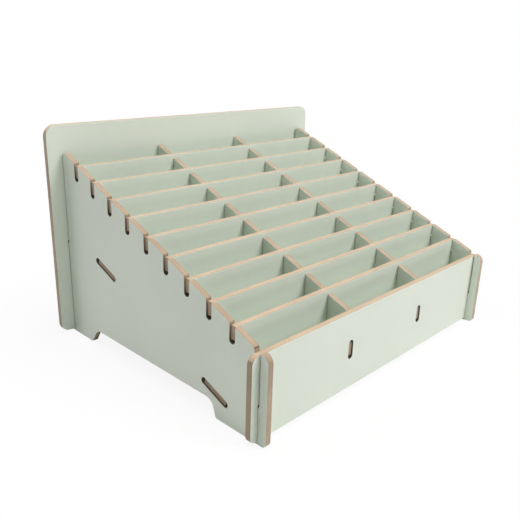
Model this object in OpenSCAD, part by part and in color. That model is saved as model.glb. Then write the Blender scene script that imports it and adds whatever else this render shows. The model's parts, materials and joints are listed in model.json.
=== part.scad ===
// Stepped desktop rack of thirty open cells, ten steps of three over one sloping shelf, made of
// sixteen routed fibreboard panels that slot together.
//
// Millimetres. +Z is up, the low front faces -Y and the tall back panel +Y. The origin is on the
// table, under the middle of the rack. Every board is drawn as a flat outline in its own plane:
// the outlines of the side panels and dividers are drawn with X as the distance behind the front
// panel's front face, called depth below, and Y as the height above the table.

/* [Boards] */
// Thickness of every board
board_t = 5; // [4:0.25:6.5]

/* [Cells] */
// Clear width of a cell
cell_w = 96.6; // [75:0.2:130]
// Clear depth of a cell, front to back
cell_d = 19.3; // [15:0.1:26]
// Angle of the stepped top and of the shelf under it
slope_angle = 22.3; // [17:0.1:26]

/* [Side panels] */
// Height of the sloping top where it starts, over the front panel's front face
front_h = 71; // [62:0.5:85]
// How far the side panels stand out in front of the front panel and behind the back panel
nose = 8; // [5:0.5:14]
// Rounding of the upper corner of each nose
nose_top_r = 7; // [2:0.5:10]
// Rounding of the lower corner of each nose
nose_bottom_r = 4; // [1:0.5:8]
// Height of the long arch between the feet
arch_h = 14; // [8:0.5:18]
// Length of the front foot on the table, from the front panel's front face
front_foot = 43.5; // [30:0.5:60]
// Length of the rear foot on the table, from the back panel's front face
rear_foot = 30.7; // [20:0.1:45]
// Lean of the front foot's inner end away from upright
front_foot_lean = 17; // [0:1:30]
// Lean of the rear foot's inner end away from upright
rear_foot_lean = 33; // [0:1:40]
// Rounding of the feet's inner tips
foot_tip_r = 3; // [0.5:0.5:4]
// Rounding between the front foot and the arch's roof
front_arch_r = 8; // [2:0.5:9]
// Rounding between the rear foot and the arch's roof
rear_arch_r = 10; // [2:0.5:11]
// Height of the bottom of the slot that takes the front panel
front_lap_h = 28.5; // [24:0.5:40]
// Height of the bottom of the slot that takes the back panel
rear_lap_h = 87; // [60:0.5:100]
// Rounding of the sloping top where it meets those two slots
slot_mouth_r = 3; // [0.5:0.5:5]

/* [Front and back panels] */
// Clearance between both panels and the table
panel_lift = 2.5; // [1:0.5:6]
// How far the front panel stands out past each side panel
front_overhang = 7; // [4:0.5:14]
// Rounding of the front panel's upper corners
front_top_r = 6.5; // [1:0.5:9]
// Rounding of the front panel's lower corners
front_bottom_r = 5; // [1:0.5:9]
// How far the back panel stands out past each side panel
back_overhang = 13.5; // [8:0.5:25]
// How far the back panel rises above the side panels
back_rise = 22.4; // [8:0.1:60]
// Rounding of the back panel's upper corners
back_top_r = 10; // [2:0.5:14]
// Rounding of the back panel's lower corners
back_bottom_r = 8; // [2:0.5:14]

/* [Shelf] */
// Clearance between the shelf's low front edge and the table
shelf_lift = 3; // [1:0.5:10]
// Length of each shelf tab, along the slope
shelf_tab_l = 25; // [12:0.5:40]
// Depth of the middle of the front shelf tabs, behind the front panel's front face
shelf_tab_front = 44; // [36:0.5:90]
// Distance from the back panel's front face to the middle of the rear shelf tabs
shelf_tab_back = 60.5; // [40:0.5:90]

/* [Dividers] */
// How far a divider's top edge lies below the side panels' top edge
divider_drop = 3.7; // [0:0.1:8]
// Height of a divider's tenons
tenon_h = 10.8; // [6:0.2:20]
// Height of the tenons' middle above the shelf
tenon_rise = 29.3; // [20:0.1:40]

/* [Row panels] */
// Height of a row panel's end tabs
row_tab_h = 10.8; // [6:0.2:18]
// Clearance between a row panel's lower edge and the shelf
row_foot_gap = 0.5; // [0.1:0.1:4]

/* [Fits] */
// How much wider a tab's slot is than the board in it
slot_gap = 0.5; // [0.2:0.05:1]
// Clearance where a row panel's notch drops over a divider's notch
notch_gap = 0.3; // [0.1:0.1:1]
// How much wider a corner slot is than the board in it
lap_gap = 0.7; // [0.2:0.05:1.2]
// How far tabs and tenons stop short of the outer face
tab_recess = 1.2; // [0:0.1:2.5]
// Clearance at each end of a row panel, between its body and the side panel
row_end_gap = 1; // [0.2:0.1:2]
// Clearance between the shelf's body and the boards round it
shelf_gap = 0.5; // [0.1:0.1:1.5]

/* [Hidden] */
COLUMNS = 3;
ROWS = 10;
$fn = 64;

// Paint in daylight on the outside, a little greener and darker inside.
PAINT = [0.80, 0.85, 0.77];
PAINT_INSIDE = [0.72, 0.79, 0.69];
PAINT_BACK = [0.77, 0.82, 0.73];

// Cuts run this far past the surface that they open.
past = 1;
slope = tan(slope_angle);
slot_w = board_t + slot_gap;
lap_w = board_t + lap_gap;

// Widths, from the middle of the rack
inside_w = COLUMNS * cell_w + (COLUMNS - 1) * board_t;
inside_x = inside_w / 2;
outside_x = inside_x + board_t;

// Left face of a divider, counted from the left
function divider_x(n) = -inside_x + n * cell_w + (n - 1) * board_t;

// Depths, from the front panel's front face
back_y = board_t + ROWS * cell_d + (ROWS - 1) * board_t;
front_end = -nose;
rear_end = back_y + board_t + nose;
middle_y = (front_end + rear_end) / 2;

// The shelf's upper face starts where its square-cut front edge meets the clearance.
shelf_start = board_t + shelf_gap;
shelf_fall = board_t * cos(slope_angle);
shelf_setback = board_t * sin(slope_angle);
back_h = top_at(back_y) + back_rise;

function top_at(y) = front_h + slope * y;
function shelf_at(y) = shelf_lift + shelf_fall + slope * (y - shelf_start);
function divider_top_at(y) = top_at(y) - divider_drop;
function tenon_at(y) = shelf_at(y) + tenon_rise;

// Row panels are alike. Their tops meet the side panels' sloping top at their front faces, and
// they and the dividers are notched over each other to half of their height.
row_h = front_h - shelf_at(board_t) - row_foot_gap;

// Front face, middle and top of a row panel, counted from the front
function row_y(n) = board_t + n * cell_d + (n - 1) * board_t;
function row_middle(n) = row_y(n) + board_t / 2;
function row_top(n) = top_at(row_y(n));

// ---- Outlines ----

function unit(v) = v / norm(v);
function half_angle(a, b, c) = acos(unit(a - b) * unit(c - b)) / 2;
// Where an arc of radius r that eases the corner b, between a and c, leaves the side towards c
function arc_end(a, b, c, r) = b + unit(c - b) * r / tan(half_angle(a, b, c));
function arc_centre(a, b, c, r) =
    b + unit(unit(a - b) + unit(c - b)) * r / sin(half_angle(a, b, c));

// The sliver between the sharp corner b and its arc: taken off a tip, or filled into a notch
module corner_sliver(a, b, c, r) {
    centre = arc_centre(a, b, c, r);
    difference() {
        polygon([arc_end(c, b, a, r), b + unit(b - centre) * past, arc_end(a, b, c, r)]);
        translate(centre) circle(r);
    }
}

// Four-cornered board whose lower and upper corners are rounded alike
module rounded_board(x, low, high, low_r, high_r) {
    difference() {
        translate([-x, low]) square([2 * x, high - low]);
        for (side = [-1, 1]) {
            corner_sliver([0, low], [side * x, low], [side * x, high], low_r);
            corner_sliver([0, high], [side * x, high], [side * x, low], high_r);
        }
    }
}

// Closed slot with round ends, upright, as the router leaves it
module routed_slot(w, straight) {
    square([w, straight], center = true);
    for (end = [-1, 1]) translate([0, end * straight / 2]) circle(d = w);
}

// Slot that is open at the top. Its round bottom is centred on the origin.
module open_slot(w) {
    translate([-w / 2, 0]) square([w, back_h]);
    circle(d = w);
}

// Upright boards: the outline's X runs along the rack's depth, or along its width
module board_along_depth(x) {
    translate([x, -middle_y, 0]) rotate([90, 0, 90]) linear_extrude(board_t) children();
}

module board_across(y) {
    translate([0, y + board_t - middle_y, 0]) rotate([90, 0, 0]) linear_extrude(board_t)
        children();
}

// ---- Side panels ----

// Space under the arch, with its rounded roof corners and foot tips
module arch() {
    below = -past;
    front_lean = tan(front_foot_lean);
    rear_lean = tan(rear_foot_lean);
    rear_tip = back_y - rear_foot;
    front_low = [front_foot, 0];
    front_high = [front_foot + front_lean * arch_h, arch_h];
    rear_high = [rear_tip - rear_lean * arch_h, arch_h];
    rear_low = [rear_tip, 0];
    difference() {
        polygon([[front_foot, below], front_low, front_high, rear_high, rear_low,
                 [rear_tip, below]]);
        corner_sliver(front_low, front_high, rear_high, front_arch_r);
        corner_sliver(front_high, rear_high, rear_low, rear_arch_r);
    }
    corner_sliver([0, 0], front_low, front_high, foot_tip_r);
    corner_sliver(rear_high, rear_low, [rear_end, 0], foot_tip_r);
}

// Slanting closed slot for a shelf tab: its lower side lies in the shelf's lower face
module shelf_slot(y) {
    translate([y, shelf_at(y)]) rotate(slope_angle)
        translate([0, slot_w / 2 - board_t]) rotate(-90) routed_slot(slot_w, shelf_tab_l);
}

module side_outline() {
    top_r = min(nose_top_r, nose);
    nose_top = top_at(0);
    tail_top = top_at(back_y);
    front_slot_x = board_t - lap_w;
    rear_slot_x = back_y + board_t - lap_w;
    difference() {
        polygon([[front_end, 0], [rear_end, 0], [rear_end, tail_top], [back_y, tail_top],
                 [0, nose_top], [front_end, nose_top]]);
        arch();
        corner_sliver([rear_end, 0], [front_end, 0], [front_end, nose_top], nose_bottom_r);
        corner_sliver([front_end, 0], [front_end, nose_top], [0, nose_top], top_r);
        corner_sliver([front_end, 0], [rear_end, 0], [rear_end, tail_top], nose_bottom_r);
        corner_sliver([rear_end, 0], [rear_end, tail_top], [back_y, tail_top], top_r);

        // corner slots for the front and back panels
        translate([front_slot_x + lap_w / 2, front_lap_h + lap_w / 2]) open_slot(lap_w);
        translate([rear_slot_x + lap_w / 2, rear_lap_h + lap_w / 2]) open_slot(lap_w);
        corner_sliver([board_t, 0], [board_t, top_at(board_t)], [back_y, tail_top],
                      slot_mouth_r);
        corner_sliver([0, nose_top], [rear_slot_x, top_at(rear_slot_x)], [rear_slot_x, 0],
                      slot_mouth_r);

        // open slots for the row panels' tabs
        for (n = [1 : ROWS - 1])
            translate([row_middle(n), row_top(n) - row_tab_h]) open_slot(slot_w);

        shelf_slot(shelf_tab_front);
        shelf_slot(back_y - shelf_tab_back);
    }
}

module side_panel_left() {
    color(PAINT) board_along_depth(-outside_x) side_outline();
}

module side_panel_right() {
    color(PAINT) board_along_depth(inside_x) side_outline();
}

// ---- Front and back panels ----

// Slots that drop over both side panels, and mortises for the dividers' tenons
module panel_slots(lap_top, tenon_y) {
    for (side = [-1, 1])
        translate([side * (inside_x + board_t / 2) - lap_w / 2, 0]) square([lap_w, lap_top]);
    for (n = [1 : COLUMNS - 1])
        translate([divider_x(n) + board_t / 2, tenon_at(tenon_y)])
            routed_slot(slot_w, tenon_h);
}

module front_panel() {
    color(PAINT) board_across(0) difference() {
        rounded_board(outside_x + front_overhang, panel_lift, divider_top_at(board_t),
                      front_bottom_r, front_top_r);
        panel_slots(front_lap_h + lap_w / 2, board_t);
    }
}

module back_panel() {
    color(PAINT_BACK) board_across(back_y) difference() {
        rounded_board(outside_x + back_overhang, panel_lift, back_h, back_bottom_r, back_top_r);
        panel_slots(rear_lap_h + lap_w / 2, back_y);
    }
}

// ---- Shelf ----

// Distance along the slope from the shelf's front edge to a depth
function along_shelf(y) = (y - shelf_start) / cos(slope_angle);

module shelf() {
    body_x = inside_x - shelf_gap;
    tab_x = outside_x - tab_recess;
    length = along_shelf(back_y - shelf_gap - shelf_setback);
    color(PAINT_INSIDE)
        translate([0, shelf_start - middle_y, shelf_at(shelf_start)])
        rotate([slope_angle, 0, 0]) translate([0, 0, -board_t]) {
            translate([-body_x, 0, 0]) cube([2 * body_x, length, board_t]);
            for (y = [shelf_tab_front, back_y - shelf_tab_back])
                translate([-tab_x, along_shelf(y) - shelf_tab_l / 2, 0])
                    cube([2 * tab_x, shelf_tab_l, board_t]);
        }
}

// ---- Dividers ----

module divider_outline() {
    difference() {
        union() {
            polygon([[board_t, shelf_at(board_t)], [back_y, shelf_at(back_y)],
                     [back_y, divider_top_at(back_y)], [board_t, divider_top_at(board_t)]]);
            translate([tab_recess, tenon_at(board_t) - tenon_h / 2])
                square([2 * board_t - tab_recess, tenon_h]);
            translate([back_y - board_t, tenon_at(back_y) - tenon_h / 2])
                square([2 * board_t - tab_recess, tenon_h]);
        }
        for (n = [1 : ROWS - 1])
            translate([row_middle(n) - slot_w / 2, row_top(n) - row_h / 2])
                square([slot_w, row_h]);
    }
}

module divider(n) {
    color(PAINT_INSIDE) board_along_depth(divider_x(n)) divider_outline();
}

// ---- Row panels ----

// Drawn down from the middle of its top edge
module row_outline() {
    body_x = inside_x - row_end_gap;
    tab_x = outside_x - tab_recess;
    difference() {
        union() {
            translate([-body_x, -row_h]) square([2 * body_x, row_h]);
            translate([-tab_x, -row_tab_h]) square([2 * tab_x, row_tab_h]);
        }
        for (n = [1 : COLUMNS - 1])
            translate([divider_x(n) + board_t / 2 - slot_w / 2, -row_h - past])
                square([slot_w, row_h / 2 + notch_gap + past]);
    }
}

module row_panel(n) {
    color(PAINT_INSIDE) translate([0, 0, row_top(n)]) board_across(row_y(n)) row_outline();
}

side_panel_left();
side_panel_right();
front_panel();
back_panel();
shelf();
for (n = [1 : COLUMNS - 1])
    divider(n);
for (n = [1 : ROWS - 1])
    row_panel(n);
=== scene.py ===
"""Looks, light and camera for a stepped desktop rack of painted, routed fibreboard.

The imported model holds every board's shape and place. Each board is drawn again here from its
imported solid, with eased arrises and a measured run round every cut, and dressed in satin paint
on its two faces and in bare fibre on its cut edges. Lengths are in metres.
"""
from __future__ import annotations

import json
import logging
import math
from collections import defaultdict
from dataclasses import dataclass
from enum import Enum
from typing import NamedTuple

import bpy
from mathutils import Matrix, Vector
from mathutils.geometry import delaunay_2d_cdt

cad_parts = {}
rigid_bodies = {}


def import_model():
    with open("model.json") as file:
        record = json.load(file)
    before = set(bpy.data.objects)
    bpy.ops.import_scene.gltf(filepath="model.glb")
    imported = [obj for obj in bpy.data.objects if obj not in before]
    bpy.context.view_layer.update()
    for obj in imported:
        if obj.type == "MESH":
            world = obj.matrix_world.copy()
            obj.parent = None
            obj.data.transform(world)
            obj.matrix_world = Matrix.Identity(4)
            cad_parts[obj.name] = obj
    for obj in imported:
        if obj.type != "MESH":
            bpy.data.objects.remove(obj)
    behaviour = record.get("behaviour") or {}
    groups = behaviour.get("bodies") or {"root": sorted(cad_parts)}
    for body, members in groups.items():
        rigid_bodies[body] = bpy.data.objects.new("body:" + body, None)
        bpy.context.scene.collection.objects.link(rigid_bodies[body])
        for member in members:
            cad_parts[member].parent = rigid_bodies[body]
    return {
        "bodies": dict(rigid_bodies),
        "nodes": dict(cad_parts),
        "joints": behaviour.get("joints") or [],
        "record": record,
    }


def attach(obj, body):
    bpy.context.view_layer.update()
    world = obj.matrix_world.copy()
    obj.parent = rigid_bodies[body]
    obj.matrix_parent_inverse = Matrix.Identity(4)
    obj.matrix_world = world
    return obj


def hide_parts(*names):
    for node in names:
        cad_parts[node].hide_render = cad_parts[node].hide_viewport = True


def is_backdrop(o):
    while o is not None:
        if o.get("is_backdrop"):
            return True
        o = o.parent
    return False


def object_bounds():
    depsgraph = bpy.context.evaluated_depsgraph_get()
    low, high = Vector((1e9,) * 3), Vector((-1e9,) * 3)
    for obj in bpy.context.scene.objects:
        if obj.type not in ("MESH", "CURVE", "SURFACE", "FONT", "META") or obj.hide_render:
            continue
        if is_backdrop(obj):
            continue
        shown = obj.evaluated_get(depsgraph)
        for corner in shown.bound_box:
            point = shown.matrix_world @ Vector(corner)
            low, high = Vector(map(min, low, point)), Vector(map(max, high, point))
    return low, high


LOG = logging.getLogger("rack")

# What every board's mesh tells its materials: a map of the run round its cuts, and five values.
RUN_MAP = "run"
RIM = "rim"
SEED = "seed"
WEAR = "wear"
THICKNESS = "thickness"
# How dark each cut is drawn: partly scorching by the cutter, partly painted shade in narrow cuts
# and painted light on edges that face up.
SCORCH_AND_SHADE = "scorch_and_shade"

Colour = tuple[float, float, float]
WHITE: Colour = (1.0, 1.0, 1.0)


class Surface(Enum):
    """The finish that a face of a board's mesh wears, as its material's place on the mesh."""

    PAINTED = 0
    ROUTED = 1


class Handling(Enum):
    """How much a board's arrises have been rubbed, as a shift of the paint's edge."""

    HIDDEN = -0.12
    LIGHT = 0.0
    HANDLED = 0.14


class Mixture(Enum):
    """What a Mix node mixes: its data type, and the places of its two inputs and its output."""

    NUMBERS = ("FLOAT", 2, 3, 0)
    COLOURS = ("RGBA", 6, 7, 2)


# ---- View ----


def direction_from(azimuth: float, elevation: float) -> Vector:
    """Gives the way from the rack towards something that looks at it.

    Args:
        azimuth: Degrees round from the front, positive towards +X.
        elevation: Degrees above the table.

    Returns:
        A unit vector.
    """
    around = math.radians(azimuth)
    above = math.radians(elevation)
    return Vector((math.sin(around) * math.cos(above), -math.cos(around) * math.cos(above),
                   math.sin(above)))


@dataclass(frozen=True)
class PhotoView:
    """The photograph's viewpoint, found by fitting the boards' corners.

    Attributes:
        azimuth: Degrees round from the front, positive towards +X. 0 looks along +Y.
        elevation: Degrees above the table.
        roll: Degrees by which the camera is turned about its line of sight.
        place: Where it stands.
        lens_mm: Its focal length.
        film_mm: The width of its film.
        nearest: The least distance at which it sees.
        farthest: The greatest.
    """

    azimuth: float = -46.232
    elevation: float = 19.417
    roll: float = 1.746
    place: tuple[float, float, float] = (-0.41439, -0.36998, 0.26192)
    lens_mm: float = 42.290
    film_mm: float = 36.0
    nearest: float = 0.02
    farthest: float = 30.0

    def axes(self) -> Matrix:
        """Works out how the camera is turned.

        Returns:
            A 3 by 3 matrix whose columns are the camera's right, up and backward axes.
        """
        back = direction_from(self.azimuth, self.elevation)
        level = Vector((math.cos(math.radians(self.azimuth)),
                        math.sin(math.radians(self.azimuth)), 0.0))
        upright = back.cross(level)
        turn = math.radians(self.roll)
        right = level * math.cos(turn) + upright * math.sin(turn)
        up = upright * math.cos(turn) - level * math.sin(turn)
        return Matrix((right, up, back)).transposed()

    def set_up(self) -> None:
        """Adds the camera and makes it the scene's own."""
        lens = bpy.data.cameras.new("photo_view")
        lens.sensor_width = self.film_mm
        lens.lens = self.lens_mm
        lens.clip_start = self.nearest
        lens.clip_end = self.farthest
        camera = bpy.data.objects.new("photo_view", lens)
        camera.matrix_world = Matrix.Translation(self.place) @ self.axes().to_4x4()
        bpy.context.scene.collection.objects.link(camera)
        bpy.context.scene.camera = camera


# ---- Shader graphs ----


class Graph:
    """A node tree with short ways to add nodes and links to it."""

    def __init__(self, tree: bpy.types.NodeTree) -> None:
        """Keeps the tree that the methods add to."""
        self.tree = tree

    @classmethod
    def blank(cls, owner: bpy.types.Material | bpy.types.World) -> Graph:
        """Empties a material's or a world's node tree.

        Args:
            owner: The material or world.

        Returns:
            The graph of its empty tree.
        """
        owner.use_nodes = True
        owner.node_tree.nodes.clear()
        return cls(owner.node_tree)

    def add(self, kind: str, inputs: dict[str | int, object] | None = None,
            **settings: object) -> bpy.types.Node:
        """Adds a node.

        Args:
            kind: The node's type, without its leading ShaderNode.
            inputs: Values or sockets for its inputs, by name or by place.
            **settings: The node's own settings.

        Returns:
            The node.
        """
        node = self.tree.nodes.new("ShaderNode" + kind)
        for name, value in settings.items():
            setattr(node, name, value)
        for key, value in (inputs or {}).items():
            self.feed(node.inputs[key], value)
        return node

    def feed(self, target: bpy.types.NodeSocket, value: object) -> None:
        """Sets an input to a value, or links a socket to it.

        Args:
            target: The input.
            value: A number, a tuple or another node's output.
        """
        if isinstance(value, bpy.types.NodeSocket):
            self.tree.links.new(value, target)
        elif target.type == "RGBA" and len(value) == 3:
            target.default_value = (*value, 1.0)
        else:
            target.default_value = value

    def place(self, group: bpy.types.NodeTree, **inputs: object) -> bpy.types.Node:
        """Places a node group.

        Args:
            group: The group.
            **inputs: Its inputs, with _ for each space in a name.

        Returns:
            The group's node.
        """
        node = self.tree.nodes.new("ShaderNodeGroup")
        node.node_tree = group
        for name, value in inputs.items():
            self.feed(node.inputs[name.replace("_", " ")], value)
        return node

    def attribute(self, name: str) -> bpy.types.NodeSocket:
        """Reads one of the mesh's values."""
        return self.add("Attribute", attribute_name=name).outputs["Fac"]

    def maths(self, operation: str, *values: object) -> bpy.types.NodeSocket:
        """Adds one Math node and returns its output."""
        return self.add("Math", dict(enumerate(values)), operation=operation).outputs[0]

    def total(self, start: float, *parts: tuple[object, float]) -> bpy.types.NodeSocket:
        """Adds values up, each times its share.

        Args:
            start: The number that the sum starts from.
            *parts: Each value with its share.

        Returns:
            The sum's socket.
        """
        result = start
        for value, share in parts:
            result = self.maths("MULTIPLY_ADD", value, share, result)
        return result

    def vector(self, operation: str, *values: object) -> bpy.types.NodeSocket:
        """Adds one Vector Math node and returns its vector output."""
        node = self.add("VectorMath", dict(enumerate(values)), operation=operation)
        return node.outputs["Vector"]

    def thrice(self, value: object) -> bpy.types.NodeSocket:
        """Makes a vector whose three parts are one value."""
        return self.add("CombineXYZ", dict.fromkeys("XYZ", value)).outputs["Vector"]

    def noise(self, where: object, scale: object, detail: float = 2.0) -> bpy.types.NodeSocket:
        """Adds a noise of about 0 to 1.

        Args:
            where: The vector that it is read at.
            scale: Features in one unit of that vector.
            detail: How many finer layers it has.

        Returns:
            The noise's value socket.
        """
        node = self.add("TexNoise", {"Vector": where, "Scale": scale, "Detail": detail})
        return node.outputs["Fac"]

    def ramp(self, value: object, low: float, high: float, to_low: float = 0.0,
             to_high: float = 1.0) -> bpy.types.NodeSocket:
        """Adds a smooth step of a value from one range to another.

        Args:
            value: The value's socket.
            low: Where the step starts.
            high: Where the step ends.
            to_low: What it gives at the start.
            to_high: What it gives at the end.

        Returns:
            The stepped value's socket.
        """
        node = self.add("MapRange", {"Value": value, "From Min": low, "From Max": high,
                                     "To Min": to_low, "To Max": to_high},
                        interpolation_type="SMOOTHSTEP")
        return node.outputs["Result"]

    def mix(self, factor: object, first: object, second: object,
            mixture: Mixture = Mixture.COLOURS) -> bpy.types.NodeSocket:
        """Adds a mix of two values.

        Args:
            factor: The second one's share.
            first: The first value.
            second: The second value.
            mixture: What they are.

        Returns:
            The mixed value's socket.
        """
        data_type, first_place, second_place, result = mixture.value
        node = self.add("Mix", {0: factor, first_place: first, second_place: second},
                        data_type=data_type)
        return node.outputs[result]

    def bump(self, height: object) -> bpy.types.NodeSocket:
        """Turns a height in metres into a normal."""
        node = self.add("Bump", {"Height": height, "Distance": 1.0, "Strength": 1.0})
        return node.outputs["Normal"]


class Effect:
    """A shader effect that several materials use: a node group, built once.

    Attributes:
        name: The group's name.
        inputs: The types of its inputs, by name.
        outputs: The types of its outputs, by name.
    """

    name = ""
    inputs: dict[str, str] = {}
    outputs: dict[str, str] = {}

    def __init__(self) -> None:
        """Makes the group's sockets and fills it."""
        self.group = bpy.data.node_groups.new(self.name, "ShaderNodeTree")
        for way, sockets in (("INPUT", self.inputs), ("OUTPUT", self.outputs)):
            for socket, kind in sockets.items():
                self.group.interface.new_socket(socket, in_out=way,
                                                socket_type="NodeSocket" + kind)
        graph = Graph(self.group)
        source = self.group.nodes.new("NodeGroupInput")
        result = self.group.nodes.new("NodeGroupOutput")
        for socket, value in self.fill(graph, source.outputs).items():
            graph.feed(result.inputs[socket], value)

    def fill(self, graph: Graph, given: bpy.types.NodeOutputs) -> dict[str, object]:
        """Adds the effect's nodes.

        Args:
            graph: The group's graph.
            given: The group's inputs, by name.

        Returns:
            What each of the group's outputs is fed from.
        """
        raise NotImplementedError


class PaintFilm(Effect):
    """A rolled film of paint: slow drifts of tone, roller lines and a fine orange peel.

    Attributes:
        drift_scale: Slow drifts in a metre.
        cloud_scale: Smaller clouds in a metre.
        line_stretch: Roller lines in a metre of the rack's width, depth and height.
        drift_share: How much the drifts add to the tone.
        cloud_share: How much the clouds do.
        line_share: How much the roller lines do.
        cloud_rough: How much rougher a cloud is than the paint beside it.
        line_relief: A roller line's height, as a share of a dimple's.
    """

    name = "paint film"
    inputs = {"Where": "Vector", "Drift": "Float", "Peel Scale": "Float", "Sheen": "Float"}
    outputs = {"Tone": "Float", "Roughness": "Float", "Height": "Float"}
    drift_scale = 14.0
    cloud_scale = 55.0
    line_stretch = (260.0, 260.0, 16.0)
    drift_share = 1.2
    cloud_share = 0.5
    line_share = 0.3
    cloud_rough = 0.16
    line_relief = 0.35

    def fill(self, graph: Graph, given: bpy.types.NodeOutputs) -> dict[str, object]:
        """Adds the film's nodes.

        Args:
            graph: The group's graph.
            given: The group's inputs, by name.

        Returns:
            What feeds the tone, the roughness and the height.
        """
        where = given["Where"]
        drift = graph.noise(where, self.drift_scale, detail=1.0)
        cloud = graph.noise(where, self.cloud_scale, detail=3.0)
        lines = graph.noise(graph.vector("MULTIPLY", where, self.line_stretch), 1.0)
        peel = graph.noise(where, given["Peel Scale"])
        mean = (self.drift_share + self.cloud_share + self.line_share) / 2
        stray = graph.total(-mean, (drift, self.drift_share), (cloud, self.cloud_share),
                            (lines, self.line_share))
        rougher = graph.total(-self.cloud_rough / 2, (cloud, self.cloud_rough))
        return {"Tone": graph.maths("MULTIPLY_ADD", stray, given["Drift"], 1.0),
                "Roughness": graph.maths("ADD", rougher, given["Sheen"]),
                "Height": graph.maths("MULTIPLY_ADD", lines, self.line_relief, peel)}


class BareFibre(Effect):
    """A routed fibreboard edge: flecked core, denser skins, dark patches and cutter marks.

    Its run is the distance along the cut and the depth below the upper face, and each stretch
    gives a pattern's features in a metre of both.

    Attributes:
        fleck_stretch: Single fibres.
        layer_stretch: Layers pressed along the board.
        patch_stretch: Darker patches.
        paleness: How pale the core is, on the scale of the shares.
        fleck_share: How much the fibres darken it.
        layer_share: How much the layers do.
        patch_share: How much the patches do.
        skin_share: How much the dense skins do.
        mark_share: How much the cutter's marks do.
        skin_start: Where the skins start, from 0 in the middle of the board to 1 at its face.
        cutter_step: How far apart the cutter's marks are.
        mark_wander: How far they stray in a patch, in radians of their wave.
        mark_relief: Their height, as a share of a fibre's.
        darkened_patch: Where the patches step from lightly to fully darkened towards the
            near-black colour.
        darkened_least: How far a darkened cut goes towards it between them; that darkening is
            partly scorching, partly painted shade.
        dry: Roughness of the dry core.
        skin_polish: How much smoother the skins are.
    """

    name = "bare fibre"
    inputs = {"Run": "Vector", "Seed": "Float", "Thickness": "Float", "Scorch": "Float",
              "Pale": "Color", "Dark": "Color", "Char": "Color"}
    outputs = {"Color": "Color", "Roughness": "Float", "Height": "Float"}
    fleck_stretch = (1100.0, 1500.0, 1.0)
    layer_stretch = (55.0, 1500.0, 1.0)
    patch_stretch = (34.0, 60.0, 1.0)
    paleness = 0.58
    fleck_share = 0.55
    layer_share = 0.5
    patch_share = 0.5
    skin_share = 0.26
    mark_share = 0.02
    skin_start = 0.52
    cutter_step = 0.0012
    mark_wander = 30.0
    mark_relief = 0.12
    darkened_patch = (0.25, 0.75)
    darkened_least = 0.8
    dry = 0.9
    skin_polish = 0.12

    def fill(self, graph: Graph, given: bpy.types.NodeOutputs) -> dict[str, object]:
        """Adds the edge's nodes.

        Args:
            graph: The group's graph.
            given: The group's inputs, by name.

        Returns:
            What feeds the colour, the roughness and the height.
        """
        run = given["Run"]
        shift = graph.thrice(given["Seed"])
        fleck, layer, patch = (
            graph.noise(graph.vector("ADD", graph.vector("MULTIPLY", run, stretch), shift),
                        1.0, detail=3.0)
            for stretch in (self.fleck_stretch, self.layer_stretch, self.patch_stretch))
        run_parts = graph.add("SeparateXYZ", {"Vector": run}).outputs
        share = graph.maths("DIVIDE", run_parts["Y"], given["Thickness"])
        from_middle = graph.maths("ABSOLUTE", graph.total(-1.0, (share, 2.0)))
        skin = graph.ramp(from_middle, self.skin_start, 1.0)
        wave = graph.maths("MULTIPLY", run_parts["X"], 2 * math.pi / self.cutter_step)
        marks = graph.maths("SINE", graph.maths("MULTIPLY_ADD", patch, self.mark_wander, wave))
        darkness = graph.total(-self.paleness, (fleck, self.fleck_share),
                               (layer, self.layer_share), (patch, self.patch_share),
                               (skin, self.skin_share), (marks, self.mark_share))
        tone = graph.mix(darkness, given["Pale"], given["Dark"])
        # Darkens the fibre towards the near-black colour: partly scorching by the cutter, partly
        # painted shade in narrow cuts and on upright edges, which leaves edges that face up
        # paler as painted light.
        darkened = graph.maths("MULTIPLY", given["Scorch"],
                            graph.ramp(patch, *self.darkened_patch, self.darkened_least))
        return {"Color": graph.mix(darkened, tone, given["Char"]),
                "Roughness": graph.total(self.dry, (skin, -self.skin_polish)),
                "Height": graph.maths("MULTIPLY_ADD", marks, self.mark_relief, fleck)}


class RubbedArris(Effect):
    """Where the paint ends: a ragged line round each arris, with a few chips past it.

    Attributes:
        line: Where the paint ends, as a rim value: 1 where the arris starts, 2 on the cut wall.
        soft: Half the width over which it ends.
        rag_scale: Rags of that line in a metre.
        rag_reach: How far they reach, from end to end.
        chip_scale: Chips in a metre.
        chip_edge: Where a chip steps out of its noise.
        chip_reach: How far a chip reaches past the line.
        patch_scale: Patches in a metre in which there are chips.
        patch_edge: Where such a patch steps out of its noise.
    """

    name = "rubbed arris"
    inputs = {"Where": "Vector", "Rim": "Float", "Wear": "Float"}
    outputs = {"Bare": "Float"}
    line = 1.55
    soft = 0.10
    rag_scale = 1500.0
    rag_reach = 0.7
    chip_scale = 190.0
    chip_edge = (0.60, 0.78)
    chip_reach = 0.55
    patch_scale = 24.0
    patch_edge = (0.35, 0.75)

    def fill(self, graph: Graph, given: bpy.types.NodeOutputs) -> dict[str, object]:
        """Adds the mask's nodes.

        Args:
            graph: The group's graph.
            given: The group's inputs, by name.

        Returns:
            What feeds the mask of bare board.
        """
        where = given["Where"]
        rag = graph.noise(where, self.rag_scale)
        chip = graph.ramp(graph.noise(where, self.chip_scale), *self.chip_edge)
        patch = graph.ramp(graph.noise(where, self.patch_scale, detail=1.0), *self.patch_edge)
        handled = graph.maths("ADD", given["Rim"], given["Wear"])
        beyond = graph.total(-self.rag_reach / 2, (rag, self.rag_reach),
                             (graph.maths("MULTIPLY", chip, patch), self.chip_reach))
        reach = graph.maths("ADD", beyond, handled)
        return {"Bare": graph.ramp(reach, self.line - self.soft, self.line + self.soft)}


# ---- Finishes ----


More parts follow.
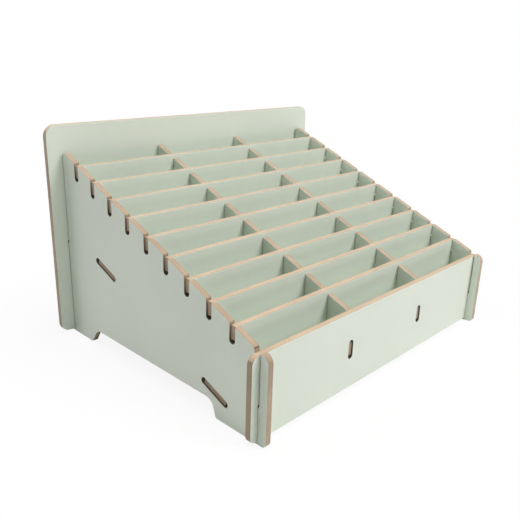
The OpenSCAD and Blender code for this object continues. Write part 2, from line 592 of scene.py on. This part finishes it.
@dataclass(frozen=True)
class FibreFinish:
    """Bare fibreboard where the cutter has been.

    Attributes:
        pale: The core's colour.
        dark: The colour of its dense skins and dark fibres.
        char: The near-black colour of a narrow cut: partly the cutter's charring, partly painted
            shade of the gap.
        relief: Height of its fibres and cutter marks.
        shine: Specular level of the dry fibre.
        fuzz: Sheen of the fine fibres that stand up, which pales an edge seen at a low angle.
        fuzz_colour: That sheen's tint.
    """

    pale: Colour = (0.70, 0.53, 0.355)
    dark: Colour = (0.22, 0.155, 0.10)
    char: Colour = (0.045, 0.033, 0.025)
    relief: float = 0.00006
    shine: float = 0.3
    fuzz: float = 0.5
    fuzz_colour: Colour = (1.0, 0.93, 0.84)


@dataclass(frozen=True)
class PaintFinish:
    """Satin paint on the board's faces.

    Attributes:
        colour: The paint's own colour.
        drift: How far its tone strays, as a share.
        sheen: Its mean roughness.
        peel_scale: Orange-peel dimples in a metre.
        peel_depth: Their depth.
        film: Thickness of the film, which shows as a step where it is rubbed away.
    """

    colour: Colour = (0.735, 0.806, 0.695)
    drift: float = 0.05
    sheen: float = 0.46
    peel_scale: float = 620.0
    peel_depth: float = 0.000022
    film: float = 0.00006


@dataclass
class PaintShop:
    """Makes the two materials that every board wears, from three shared effects.

    Attributes:
        paint: The paint on the faces.
        fibre: The bare board of the cut edges.
    """

    paint: PaintFinish = PaintFinish()
    fibre: FibreFinish = FibreFinish()

    def open(self) -> None:
        """Builds the shared effects, then a material for each surface."""
        self.film_effect = PaintFilm()
        self.fibre_effect = BareFibre()
        self.arris_effect = RubbedArris()
        self.materials = {Surface.PAINTED: self.painted_face(),
                          Surface.ROUTED: self.routed_edge()}

    def material(self, name: str) -> tuple[bpy.types.Material, Graph]:
        """Starts a material and returns it with its empty graph."""
        material = bpy.data.materials.new(name)
        return material, Graph.blank(material)

    def coat(self, graph: Graph, inputs: dict[str, object]) -> None:
        """Ends a material's graph in a Principled shader with the given inputs."""
        shader = graph.add("BsdfPrincipled", inputs)
        graph.add("OutputMaterial", {"Surface": shader.outputs["BSDF"]})

    def bare(self, graph: Graph) -> bpy.types.NodeOutputs:
        """Places the bare fibre effect on the run round a board's cuts.

        Args:
            graph: The material's graph.

        Returns:
            The effect's outputs.
        """
        node = graph.place(
            self.fibre_effect.group, Run=graph.add("UVMap", uv_map=RUN_MAP).outputs["UV"],
            Seed=graph.attribute(SEED), Thickness=graph.attribute(THICKNESS),
            Scorch=graph.attribute(SCORCH_AND_SHADE), Pale=self.fibre.pale, Dark=self.fibre.dark,
            Char=self.fibre.char)
        return node.outputs

    def painted_face(self) -> bpy.types.Material:
        """Makes the painted face, with bare fibre along its rubbed arrises.

        Returns:
            The material.
        """
        material, graph = self.material("satin_sage_paint")
        # Each board's own shift, so that no two share a pattern
        where = graph.vector("ADD", graph.add("TexCoord").outputs["Object"],
                             graph.thrice(graph.attribute(SEED)))
        film = graph.place(self.film_effect.group, Where=where, Drift=self.paint.drift,
                           Peel_Scale=self.paint.peel_scale, Sheen=self.paint.sheen).outputs
        fibre = self.bare(graph)
        mask = graph.place(self.arris_effect.group, Where=where, Rim=graph.attribute(RIM),
                           Wear=graph.attribute(WEAR)).outputs["Bare"]
        colour = graph.vector("MULTIPLY", self.paint.colour, graph.thrice(film["Tone"]))
        peel = graph.maths("MULTIPLY", film["Height"], self.paint.peel_depth)
        self.coat(graph, {
            "Base Color": graph.mix(mask, colour, fibre["Color"]),
            "Roughness": graph.mix(mask, film["Roughness"], fibre["Roughness"],
                                   Mixture.NUMBERS),
            "Normal": graph.bump(graph.maths("MULTIPLY_ADD", mask, -self.paint.film, peel))})
        return material

    def routed_edge(self) -> bpy.types.Material:
        """Makes the bare routed edge.

        Returns:
            The material.
        """
        material, graph = self.material("routed_fibreboard_edge")
        fibre = self.bare(graph)
        self.coat(graph, {
            "Base Color": fibre["Color"],
            "Roughness": fibre["Roughness"],
            "Specular IOR Level": self.fibre.shine,
            "Sheen Weight": self.fibre.fuzz,
            "Sheen Tint": self.fibre.fuzz_colour,
            "Normal": graph.bump(graph.maths("MULTIPLY", fibre["Height"], self.fibre.relief))})
        return material


# ---- Boards ----


class Ring(NamedTuple):
    """One of the lines that run round a cut, from the upper face to the lower one.

    Attributes:
        inside: How far it lies inside the outline.
        depth: How far it lies below the upper face.
        lean: Degrees by which the surface looks up there, -90 on the lower face.
        rim: 0 in the face, 1 where the arris starts and 2 on the cut wall.
    """

    inside: float
    depth: float
    lean: float
    rim: float


@dataclass(frozen=True)
class EdgeProfile:
    """How a board's edge is shaped between its two faces.

    Attributes:
        arris: Radius to which each arris is eased.
        rim: Width of the strip of face beside the arris that handling reaches.
        steps: Flats that draw each eased arris.
    """

    arris: float = 0.00032
    rim: float = 0.0011
    steps: int = 3

    def rings(self, thickness: float) -> list[Ring]:
        """Lists the lines that run round a cut.

        Args:
            thickness: The board's thickness.

        Returns:
            The rings, from the upper face to the lower one.
        """
        upper = [Ring(self.arris + self.rim, 0.0, 90.0, 0.0)]
        for step in range(self.steps + 1):
            turn = math.radians(90 * step / self.steps)
            upper.append(Ring(self.arris * (1 - math.sin(turn)),
                              self.arris * (1 - math.cos(turn)),
                              90 - math.degrees(turn), 1 + step / self.steps))
        lower = [Ring(ring.inside, thickness - ring.depth, -ring.lean, ring.rim)
                 for ring in reversed(upper)]
        return upper + lower


def one_back(items: list) -> list:
    """Gives, for each item of a closed round, the one before it."""
    return items[-1:] + items[:-1]


def one_on(items: list) -> list:
    """Gives, for each item of a closed round, the one after it."""
    return items[1:] + items[:1]


def surrounded(spot: Vector, borders: list[tuple[Vector, Vector]]) -> bool:
    """Says whether closed lines go round a spot.

    Args:
        spot: The spot, in the lines' plane.
        borders: The ends of every side of the lines.

    Returns:
        True in the board, and False in a hole or past the outline.
    """
    inside = False
    for a, b in borders:
        if (a.y > spot.y) != (b.y > spot.y):
            inside ^= spot.x < a.x + (b.x - a.x) * (spot.y - a.y) / (b.y - a.y)
    return inside


class CutLine:
    """One closed outline of a board, seen from above its upper face.

    The board lies to the left of the line, so that a hole's line runs the other way round. Its
    scorch says how dark each side is drawn, where the side starts and where it ends: partly
    scorching by the cutter, partly painted shade in narrow cuts, and paler as painted light
    where it faces up.

    Attributes:
        straight: Greatest turn, in radians, at a point that lies on a straight stretch.
        sharp: Least turn, in radians, at a corner that stays sharp.
        longest_chord: Length of the longest side that stands for part of an arc.
        arc_parts: Sides into which each such side is divided.
        sliver: Length below which a side beside a sharp corner is dropped.
        share: How much of a side two points may use up as they move into the board.
        parallel: Least rate at which a side counts as used up by that move.
    """

    straight = math.radians(0.05)
    sharp = math.radians(40)
    longest_chord = 0.004
    arc_parts = 3
    sliver = 0.0004
    share = 0.9
    parallel = 1e-9

    def __init__(self, points: list[Vector]) -> None:
        """Keeps an outline, without the points on its straight stretches.

        Args:
            points: The outline's points, in order.
        """
        self.points = points
        self.points = [p for p, turn in zip(points, self.turns()) if abs(turn) > self.straight]
        self.merge_slivers()
        self.scorch_and_shade: list[tuple[float, float]] = []

    def merge_slivers(self) -> None:
        """Drops each point that lies too near a sharp corner for an arris of its own."""
        keen = [abs(turn) > self.sharp for turn in self.turns()]
        short = [side.length < self.sliver for side in self.sides()]
        self.points = [
            point for point, here, before, after, short_before, short_after in zip(
                self.points, keen, one_back(keen), one_on(keen), one_back(short), short)
            if here or not (short_after and after or short_before and before)]

    def sides(self) -> list[Vector]:
        """Lists the sides, each from its own point to the next."""
        return [b - a for a, b in zip(self.points, one_on(self.points))]

    def turns(self) -> list[float]:
        """Lists how far the line turns at each point, in radians, positive to the left."""
        sides = self.sides()
        return [-a.angle_signed(b) for a, b in zip(one_back(sides), sides)]

    def borders(self) -> list[tuple[Vector, Vector]]:
        """Lists the two ends of each side."""
        return [(a, a + side) for a, side in zip(self.points, self.sides())]

    def round_arcs(self) -> None:
        """Puts more points on every arc, each on the circle that its chords stand for."""
        turns = self.turns()
        finer: list[Vector] = []
        scorch_and_shade: list[tuple[float, float]] = []
        for point, side, start, end, dark in zip(self.points, self.sides(), turns,
                                                 one_on(turns), self.scorch_and_shade):
            parts = [point]
            turn = max(start, end, key=abs)
            if (start * end > 0 and abs(turn) < self.sharp
                    and side.length < self.longest_chord):
                parts += self.arc_points(point, side, turn)
            finer += parts
            scorch_and_shade += [dark] * len(parts)
        self.points, self.scorch_and_shade = finer, scorch_and_shade

    def arc_points(self, start: Vector, chord: Vector, turn: float) -> list[Vector]:
        """Finds the points that divide one chord's arc.

        Args:
            start: Where the chord starts.
            chord: The chord.
            turn: The angle that its arc turns through, positive to the left.

        Returns:
            The points between the chord's ends.
        """
        half = abs(turn) / 2
        radius = chord.length / (2 * math.sin(half))
        along = chord.normalized()
        bulge = Vector((along.y, -along.x)) * math.copysign(1.0, turn)
        found = []
        for part in range(1, self.arc_parts):
            angle = half * (2 * part / self.arc_parts - 1)
            found.append(start + along * radius * (math.sin(half) + math.sin(angle))
                         + bulge * radius * (math.cos(angle) - math.cos(half)))
        return found

    def outward(self) -> list[tuple[Vector, Vector]]:
        """Finds the way out of the board at each point.

        Returns:
            For each point the normal of its surface at the end of the side before it and at
            the start of the side after it. They differ only at a sharp corner.
        """
        sides = self.sides()
        found = []
        for a, b, turn in zip(one_back(sides), sides, self.turns()):
            first = Vector((a.y, -a.x))
            second = Vector((b.y, -b.x))
            if abs(turn) < self.sharp:
                first = second = first + second
            found.append((first.normalized(), second.normalized()))
        return found

    def room(self) -> list[float]:
        """Finds how far each point can move into the board before a side is used up.

        Returns:
            The distance for each point.
        """
        bends = [math.tan(turn / 2) for turn in self.turns()]
        spare = [self.share * side.length / max(start + end, self.parallel)
                 for side, start, end in zip(self.sides(), bends, one_on(bends))]
        return [min(pair) for pair in zip(one_back(spare), spare)]

    def inset(self, distance: float) -> list[Vector]:
        """Moves the line into the board, less far where there is no room.

        Args:
            distance: How far.

        Returns:
            The moved points, in order.
        """
        sides = self.sides()
        moved = []
        for point, a, b, room in zip(self.points, one_back(sides), sides, self.room()):
            first = Vector((-a.y, a.x)).normalized()
            second = Vector((-b.y, b.x)).normalized()
            reach = min(distance, room)
            moved.append(point + (first + second) * reach / (1 + first.dot(second)))
        return moved

    def distances(self) -> list[float]:
        """Measures the line.

        Returns:
            The length of line before each point, and at the end the whole length.
        """
        total = [0.0]
        for side in self.sides():
            total.append(total[-1] + side.length)
        return total


@dataclass(frozen=True)
class Scorch:
    """How dark a board's cuts are drawn, from 0 to 1: partly scorching by the cutter, partly
    painted shade and painted light.

    Attributes:
        edge: An open edge that doesn't face up, drawn darker as partly scorching, partly painted
            shade.
        top: An open edge that faces up, left paler as painted light.
        slot: A cut so narrow that the cutter filled it, drawn near-black as scorching and
            painted shade of its gap.
        mouth: That cut where it meets an open edge.
    """

    edge: float = 0.5
    top: float = 0.0
    slot: float = 1.0
    mouth: float = 0.3


class BoardSolid:
    """A flat board's plane, thickness and cut lines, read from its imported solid.

    Attributes:
        decimals: Decimals to which corners are rounded, so that shared ones are equal.
        coarse: Decimals to which normals are rounded, so that parallel ones are equal.
        flat: Least cosine between the upper face's normal and that of a triangle in it.
        level: Greatest rise of a face's normal at which the board counts as upright.
        upper: A direction in no board's plane. The face that looks towards it is the upper one.
        narrow: Width of the widest cut that the cutter filled.
        glance: How far to each side of straight across a cut is looked, in radians.
        upward: Least rise of the normal of an edge that faces up.
    """

    decimals = 6
    coarse = 3
    flat = 0.999
    level = 0.9
    upper = Vector((1e-3, 1e-2, 1.0))
    narrow = 0.0078
    glance = math.radians(60)
    upward = 0.5

    def __init__(self, node: bpy.types.Object, scorch_and_shade: Scorch) -> None:
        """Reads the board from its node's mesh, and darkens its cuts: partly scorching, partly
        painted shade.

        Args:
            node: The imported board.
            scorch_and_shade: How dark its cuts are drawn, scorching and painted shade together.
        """
        self.triangles = self.read(node.data)
        self.up = self.face_direction()
        rise = Vector((0, 0, 1)) if abs(self.up.z) < self.level else Vector((0, 1, 0))
        self.right = rise.cross(self.up).normalized()
        self.away = self.up.cross(self.right)
        heights = [corner.dot(self.up) for corners in self.triangles for corner in corners]
        self.top = max(heights)
        self.thickness = self.top - min(heights)
        self.lines = self.cut_lines()
        self.borders = [ends for line in self.lines for ends in line.borders()]
        for line in self.lines:
            self.scorch_and_shade_line(line, scorch_and_shade)

    def read(self, mesh: bpy.types.Mesh) -> list[tuple[Vector, Vector, Vector]]:
        """Lists the mesh's triangles.

        Args:
            mesh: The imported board's mesh.

        Returns:
            Each triangle's corners.
        """
        mesh.calc_loop_triangles()
        spots = [Vector(round(c, self.decimals) for c in v.co) for v in mesh.vertices]
        return [tuple(spots[i].freeze() for i in t.vertices) for t in mesh.loop_triangles]

    def face_direction(self) -> Vector:
        """Finds the way that the board's two largest faces look.

        Returns:
            The upper one's normal.
        """
        normals = [n for n in ((b - a).cross(c - a) for a, b, c in self.triangles)
                   if n.length > 0]
        rounded = [tuple(round(abs(x), self.coarse) for x in n.normalized()) for n in normals]
        areas: dict[tuple[float, ...], float] = defaultdict(float)
        for normal, way in zip(normals, rounded):
            areas[way] += normal.length
        widest = max(areas, key=areas.get)
        found = [normal.normalized() for normal, way in zip(normals, rounded)
                 if way == widest and normal.dot(self.upper) > 0]
        return sum(found, Vector((0, 0, 0))).normalized()

    def flat_point(self, corner: Vector) -> Vector:
        """Gives a corner's place in the board's own plane."""
        return Vector((corner.dot(self.right), corner.dot(self.away)))

    def solid_point(self, flat: Vector, depth: float) -> Vector:
        """Gives the place in the rack of a point of the plane, below the upper face."""
        return self.right * flat.x + self.away * flat.y + self.up * (self.top - depth)

    def cut_lines(self) -> list[CutLine]:
        """Follows the border of the upper face.

        Returns:
            One line for each closed border, the outer one first.
        """
        after: dict[Vector, Vector] = {}
        edges = set()
        for a, b, c in self.triangles:
            normal = (b - a).cross(c - a)
            if normal.length > 0 and normal.normalized().dot(self.up) > self.flat:
                edges |= {(a, b), (b, c), (c, a)}
        for a, b in edges:
            if (b, a) not in edges:
                after[a] = b
        lines = []
        while after:
            start = min(after, key=tuple)
            points = [start]
            while after[points[-1]] != start:
                points.append(after[points[-1]])
            for point in points:
                del after[point]
            lines.append(CutLine([self.flat_point(p) for p in points]))
        return sorted(lines, key=lambda line: -line.distances()[-1])

    def scorch_and_shade_line(self, line: CutLine, scorch_and_shade: Scorch) -> None:
        """Darkens each side of a line, partly as scorching and partly as painted shade, less at
        the mouth of a narrow cut.

        Args:
            line: The line.
            scorch_and_shade: How dark the board's cuts are drawn.
        """
        darks = [self.scorch_and_shade_beside(a + side / 2, side, scorch_and_shade)
                 for a, side in zip(line.points, line.sides())]
        for before, here, after in zip(one_back(darks), darks, one_on(darks)):
            line.scorch_and_shade.append(tuple(min(here, scorch_and_shade.mouth) if beside < here else here
                                     for beside in (before, after)))

    def scorch_and_shade_beside(self, middle: Vector, side: Vector, scorch_and_shade: Scorch) -> float:
        """Says how dark one side of a cut is drawn, partly as scorching and partly as painted
        shade.

        Args:
            middle: The middle of the side.
            side: The side.
            scorch_and_shade: How dark the board's cuts are drawn.

        Returns:
            A narrow cut's darkness where the board comes back a cutter's width away, which is
            painted shade of its gap as well as scorching, and elsewhere an open edge's, paler
            where it faces up as painted light.
        """
        out = Vector((side.y, -side.x)).normalized() * self.narrow
        probes = [middle + Matrix.Rotation(turn, 2) @ out
                  for turn in (0.0, self.glance, -self.glance)]
        # Narrow cuts are drawn near-black: painted shade of their gaps as well as scorching.
        if any(surrounded(probe, self.borders) for probe in probes):
            return scorch_and_shade.slot
        # Edges that face up are drawn paler than upright ones: painted light.
        rise = (self.right * out.x + self.away * out.y).z / self.narrow
        return scorch_and_shade.top if rise > self.upward else scorch_and_shade.edge


class BoardMesh:
    """Draws a board: two flat faces, with an eased edge swept round every cut line.

    Attributes:
        closest: Distance below which two points of a flat face are one.
        least: Twice the area of the smallest triangle that fills one.
    """

    closest = 1e-7
    least = 1e-10

    def __init__(self, solid: BoardSolid, profile: EdgeProfile) -> None:
        """Draws the board.

        Args:
            solid: Its plane, thickness and cut lines.
            profile: How its edges are shaped.
        """
        self.solid = solid
        self.rings = profile.rings(solid.thickness)
        self.spots: list[Vector] = []
        self.rims: list[float] = []
        self.faces: list[tuple[int, ...]] = []
        self.surfaces: list[Surface] = []
        self.scorch_and_shade: list[float] = []
        self.normals: list[Vector] = []
        self.maps: list[Vector] = []
        self.starts: list[int] = []
        for line in solid.lines:
            line.round_arcs()
            self.sweep(line)
        self.fill()

    def sweep(self, line: CutLine) -> None:
        """Sweeps the edge profile round one cut line.

        Args:
            line: The cut line.
        """
        count = len(line.points)
        start = len(self.spots)
        self.starts.append(start)
        for ring in self.rings:
            for flat in line.inset(ring.inside):
                self.spots.append(self.solid.solid_point(flat, ring.depth))
                self.rims.append(ring.rim)
        outward = line.outward()
        along = line.distances()
        down = self.depths()
        wall = len(self.rings) // 2 - 1
        for band in range(len(self.rings) - 1):
            for i in range(count):
                j = (i + 1) % count
                upper, lower = start + band * count, start + (band + 1) * count
                self.faces.append((upper + i, lower + i, lower + j, upper + j))
                self.surfaces.append(Surface.ROUTED if band == wall else Surface.PAINTED)
                first, last = line.scorch_and_shade[i]
                self.scorch_and_shade += [first, first, last, last]
                for ring, flat, run in ((band, outward[i][1], along[i]),
                                        (band + 1, outward[i][1], along[i]),
                                        (band + 1, outward[j][0], along[i + 1]),
                                        (band, outward[j][0], along[i + 1])):
                    self.normals.append(self.leaning(flat, self.rings[ring].lean))
                    self.maps.append(Vector((run, down[ring])))

    def depths(self) -> list[float]:
        """Measures how far down the run round a cut each ring lies.

        Returns:
            The rings' depths, where the face's own rim goes on above the upper face and below
            the lower one.
        """
        depths = [ring.depth for ring in self.rings]
        reach = self.rings[0].inside
        return [depths[0] - reach] + depths[1:-1] + [depths[-1] + reach]

    def leaning(self, flat: Vector, lean: float) -> Vector:
        """Gives a surface's normal.

        Args:
            flat: The way out of the board, in its plane.
            lean: Degrees by which the normal leans up from that plane.

        Returns:
            A unit vector.
        """
        out = self.solid.right * flat.x + self.solid.away * flat.y
        angle = math.radians(lean)
        return out * math.cos(angle) + self.solid.up * math.sin(angle)

    def fill(self) -> None:
        """Fills both flat faces, each inside its own ring of every cut line."""
        order: list[int] = []
        widths: list[int] = []
        edges: list[tuple[int, int]] = []
        for start, line in zip(self.starts, self.solid.lines):
            count = len(line.points)
            first = len(order)
            order += range(start, start + count)
            widths += [count * (len(self.rings) - 1)] * count
            edges += [(first + i, first + (i + 1) % count) for i in range(count)]
        flats = [self.solid.flat_point(self.spots[i]) for i in order]
        borders = [(flats[first], flats[second]) for first, second in edges]
        for corners in delaunay_2d_cdt(flats, edges, [], 0, self.closest)[2]:
            a, b, c = (flats[i] for i in corners)
            if (b - a).cross(c - a) > self.least and surrounded((a + b + c) / 3, borders):
                self.add_triangle([order[i] for i in corners], self.solid.up)
                self.add_triangle([order[i] + widths[i] for i in corners[::-1]], -self.solid.up)

    def add_triangle(self, corners: list[int], facing: Vector) -> None:
        """Adds one painted triangle of a flat face.

        Args:
            corners: The places of its corners among the spots.
            facing: The way that it looks.
        """
        self.faces.append(tuple(corners))
        self.surfaces.append(Surface.PAINTED)
        self.scorch_and_shade += [0.0] * 3
        self.normals += [facing] * 3
        self.maps += [self.solid.flat_point(self.spots[i]) for i in corners]

    def make(self, name: str, seed: float, handling: Handling) -> bpy.types.Mesh:
        """Makes the Blender mesh.

        Args:
            name: The mesh's name.
            seed: The board's own shift of every pattern.
            handling: How much its arrises are rubbed.

        Returns:
            The mesh, with its run map, normals and the values that the materials read.
        """
        mesh = bpy.data.meshes.new(name)
        mesh.from_pydata(self.spots, [], self.faces)
        mesh.polygons.foreach_set("material_index", [s.value for s in self.surfaces])
        mesh.polygons.foreach_set("use_smooth", [True] * len(self.faces))
        run = mesh.uv_layers.new(name=RUN_MAP)
        run.data.foreach_set("uv", [c for spot in self.maps for c in spot])
        count = len(self.spots)
        for label, domain, values in ((RIM, "POINT", self.rims),
                                      (SEED, "POINT", [seed] * count),
                                      (WEAR, "POINT", [handling.value] * count),
                                      (THICKNESS, "POINT", [self.solid.thickness] * count),
                                      (SCORCH_AND_SHADE, "CORNER", self.scorch_and_shade)):
            mesh.attributes.new(label, "FLOAT", domain).data.foreach_set("value", values)
        mesh.normals_split_custom_set([tuple(n) for n in self.normals])
        mesh.update()
        return mesh


# ---- Sub-assemblies ----


@dataclass
class SubAssembly:
    """Some of the rack's boards, which share an edge and a history of handling.

    Attributes:
        edge: How their edges are shaped.
        handling: How much their arrises are rubbed.
        scorch_and_shade: How dark their cuts are drawn: partly scorching by the cutter, partly
            painted shade and painted light.
        slot: The record's material slot that they belong to. It is not used.
        seed_start: Where their run of seeds starts.
        seed_step: How far apart two boards' patterns lie.
    """

    edge: EdgeProfile = EdgeProfile()
    handling: Handling = Handling.LIGHT
    scorch_and_shade: Scorch = Scorch()
    slot: str = "inner_board"
    seed_start: float = 0.0
    seed_step: float = 1.37

    def nodes(self) -> list[str]:
        """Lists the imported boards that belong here."""
        raise NotImplementedError

    def body(self, node: str) -> str:
        """Names the body that a board rides on."""
        return "rack"

    def build(self, frame: dict[str, dict], shop: PaintShop) -> list[bpy.types.Object]:
        """Draws the boards again, dresses them and puts each on its body.

        Args:
            shop: The paint shop, open.

        Returns:
            The boards.
        """
        boards = []
        for count, node in enumerate(self.nodes()):
            solid = BoardSolid(frame["nodes"][node], self.scorch_and_shade)
            seed = self.seed_start + count * self.seed_step
            mesh = BoardMesh(solid, self.edge).make(node + "_board", seed, self.handling)
            board = bpy.data.objects.new(node + "_board", mesh)
            bpy.context.scene.collection.objects.link(board)
            self.dress(board, shop)
            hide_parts(node)
            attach(board, self.body(node))
            LOG.info("%s: %d faces, %.5f m thick, %d cut lines", board.name,
                     len(mesh.polygons), solid.thickness, len(solid.lines))
            boards.append(board)
        return boards

    def dress(self, board: bpy.types.Object, shop: PaintShop) -> None:
        """Gives a board the materials of its surfaces, in their order."""
        for surface in Surface:
            board.data.materials.append(shop.materials[surface])


@dataclass
class SidePanels(SubAssembly):
    """The two sloping side panels, which stand on the table and carry everything else."""

    # Upright cut edges darker than those that face up: partly scorching, partly painted shade.
    scorch_and_shade: Scorch = Scorch(edge=0.38, top=0.27)
    slot: str = "outer_board"
    seed_start: float = 3.1

    def nodes(self) -> list[str]:
        """Lists the left and the right panel."""
        return ["side_panel_left", "side_panel_right"]


@dataclass
class EndPanels(SubAssembly):
    """The low front panel and the tall back panel, lapped over both side panels."""

    slot: str = "outer_board"
    seed_start: float = 11.9

    def nodes(self) -> list[str]:
        """Lists the front and the back panel."""
        return ["front_panel", "back_panel"]


@dataclass
class Shelf(SubAssembly):
    """The sloping shelf that closes every cell below."""

    handling: Handling = Handling.HIDDEN
    seed_start: float = 19.3

    def nodes(self) -> list[str]:
        """Lists the one shelf."""
        return ["shelf"]


@dataclass
class Dividers(SubAssembly):
    """The dividers that part the columns of cells.

    Attributes:
        count: How many there are.
    """

    scorch_and_shade: Scorch = Scorch(top=0.25)
    count: int = 2
    seed_start: float = 23.7

    def nodes(self) -> list[str]:
        """Lists the dividers from the left."""
        return [f"divider_{n}" for n in range(1, self.count + 1)]


@dataclass
class RowPanels(SubAssembly):
    """The loose panels that part the rows of cells and lift straight out.

    Attributes:
        count: How many there are.
    """

    handling: Handling = Handling.HANDLED
    # Cut edges darker than the other boards', which paints the shade on the tab ends that sit
    # back in the side panels' slots.
    scorch_and_shade: Scorch = Scorch(edge=0.64)
    count: int = 9
    seed_start: float = 31.3

    def nodes(self) -> list[str]:
        """Lists the row panels from the front."""
        return [f"row_panel_{n}" for n in range(1, self.count + 1)]

    def body(self, node: str) -> str:
        """Names a row panel's own body."""
        return node


# ---- Studio ----


@dataclass(frozen=True)
class SoftLamp:
    """A square soft light that looks at the middle of the rack.

    Attributes:
        name: What it does.
        azimuth: Degrees round from the front, positive towards +X.
        elevation: Degrees above the table.
        distance: How far it stands from the rack's middle.
        width: The side of its square.
        power: Watts.
        colour: Its tint.
    """

    name: str
    azimuth: float
    elevation: float
    distance: float
    width: float
    power: float
    colour: Colour = WHITE

    def hang(self, middle: Vector) -> None:
        """Adds the lamp.

        Args:
            middle: The point that it looks at.
        """
        light = bpy.data.lights.new(self.name, "AREA")
        light.shape = "SQUARE"
        light.size = self.width
        light.energy = self.power
        light.color = self.colour
        lamp = bpy.data.objects.new(self.name, light)
        towards = direction_from(self.azimuth, self.elevation)
        lamp.location = middle + towards * self.distance
        lamp.rotation_euler = towards.to_track_quat("Z", "Y").to_euler()
        bpy.context.scene.collection.objects.link(lamp)


@dataclass
class Studio:
    """A white seamless studio: pale floor, even skylight and soft lamps.

    Attributes:
        sky: Strength of the even light from all round.
        sky_colour: Its tint.
        floor_colour: The floor's own colour, which lights the rack from below.
        floor_radius: How far the floor runs.
        floor_sides: Straight sides that draw its round edge.
        shadow_share: How much of the floor's real shading the camera sees.
        shadow_reach: Where that shading starts to fade, and where it has faded to plain white.
        lamps: The soft lamps.
    """

    sky: float = 0.03
    sky_colour: Colour = (0.98, 0.99, 1.0)
    floor_colour: Colour = (0.86, 0.86, 0.85)
    floor_radius: float = 12.0
    floor_sides: int = 96
    shadow_share: float = 0.10
    shadow_reach: tuple[float, float] = (0.20, 0.36)
    lamps: tuple[SoftLamp, ...] = (
        SoftLamp("key", azimuth=25, elevation=37, distance=1.5, width=0.6, power=11.4,
                 colour=(1.0, 0.96, 0.98)),
        SoftLamp("top_fill", azimuth=0, elevation=80, distance=1.5, width=1.0, power=17.0),
        SoftLamp("rear_fill", azimuth=-140, elevation=40, distance=1.5, width=0.9, power=8.2,
                 colour=(1.0, 0.95, 0.985)),
    )

    def set_up(self, low: Vector, high: Vector) -> None:
        """Adds the floor, the sky and the lamps.

        Args:
            low: The rack's lowest corner.
            high: The rack's highest corner.
        """
        self.lay_floor()
        self.hang_sky()
        for lamp in self.lamps:
            lamp.hang((low + high) / 2)
        bpy.context.scene.view_settings.view_transform = "Standard"

    def seen_rays(self, graph: Graph) -> bpy.types.NodeSocket:
        """Adds a mask of the rays that show the background.

        Args:
            graph: The graph of the floor or the sky.

        Returns:
            The mask's socket, 1 for camera, glossy and transmitted rays.
        """
        path = graph.add("LightPath").outputs
        either = graph.maths("MAXIMUM", path["Is Camera Ray"], path["Is Glossy Ray"])
        return graph.maths("MAXIMUM", either, path["Is Transmission Ray"])

    def lay_floor(self) -> None:
        """Adds the floor: a round sheet that fades to plain white away from the rack."""
        turns = [2 * math.pi * i / self.floor_sides for i in range(self.floor_sides)]
        ring = [Vector((math.cos(turn), math.sin(turn), 0)) * self.floor_radius
                for turn in turns]
        mesh = bpy.data.meshes.new("studio_floor")
        mesh.from_pydata(ring, [], [tuple(range(self.floor_sides))])
        floor = bpy.data.objects.new("studio_floor", mesh)
        bpy.context.scene.collection.objects.link(floor)
        floor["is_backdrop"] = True
        material = bpy.data.materials.new("studio_floor")
        mesh.materials.append(material)
        graph = Graph.blank(material)
        matt = graph.add("BsdfDiffuse", {"Color": self.floor_colour})
        white = graph.add("Emission", {"Color": WHITE, "Strength": 1.0})
        reach = graph.add("VectorMath", {0: graph.add("TexCoord").outputs["Object"]},
                          operation="LENGTH").outputs["Value"]
        plain = graph.ramp(reach, *self.shadow_reach, 1 - self.shadow_share)
        factor = graph.maths("MULTIPLY", plain, self.seen_rays(graph))
        mixed = graph.add("MixShader", {0: factor, 1: matt.outputs[0], 2: white.outputs[0]})
        graph.add("OutputMaterial", {"Surface": mixed.outputs[0]})

    def hang_sky(self) -> None:
        """Lights the world evenly and shows it as plain white."""
        world = bpy.data.worlds.new("studio_sky")
        bpy.context.scene.world = world
        graph = Graph.blank(world)
        even = graph.add("Background", {"Color": self.sky_colour, "Strength": self.sky})
        white = graph.add("Background", {"Color": WHITE, "Strength": 1.0})
        mixed = graph.add("MixShader", {0: self.seen_rays(graph), 1: even.outputs[0],
                                        2: white.outputs[0]})
        graph.add("OutputWorld", {"Surface": mixed.outputs[0]})


def corners(bounds: tuple[Vector, Vector]) -> list[list[float]]:
    """Turns a box into plain lists of numbers."""
    return [[float(c) for c in corner] for corner in bounds]


def main() -> None:
    """Builds the view, the boards and the studio."""
    logging.basicConfig(level=logging.INFO, format="%(name)s: %(message)s")
    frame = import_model()
    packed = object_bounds()
    PhotoView().set_up()
    shop = PaintShop()
    shop.open()
    for assembly in (SidePanels(), EndPanels(), Shelf(), Dividers(), RowPanels()):
        boards = assembly.build(frame, shop)
        LOG.info("%s: %d boards", type(assembly).__name__, len(boards))
    Studio().set_up(*(Vector(corner) for corner in packed))


if __name__ == "__main__":
    main()
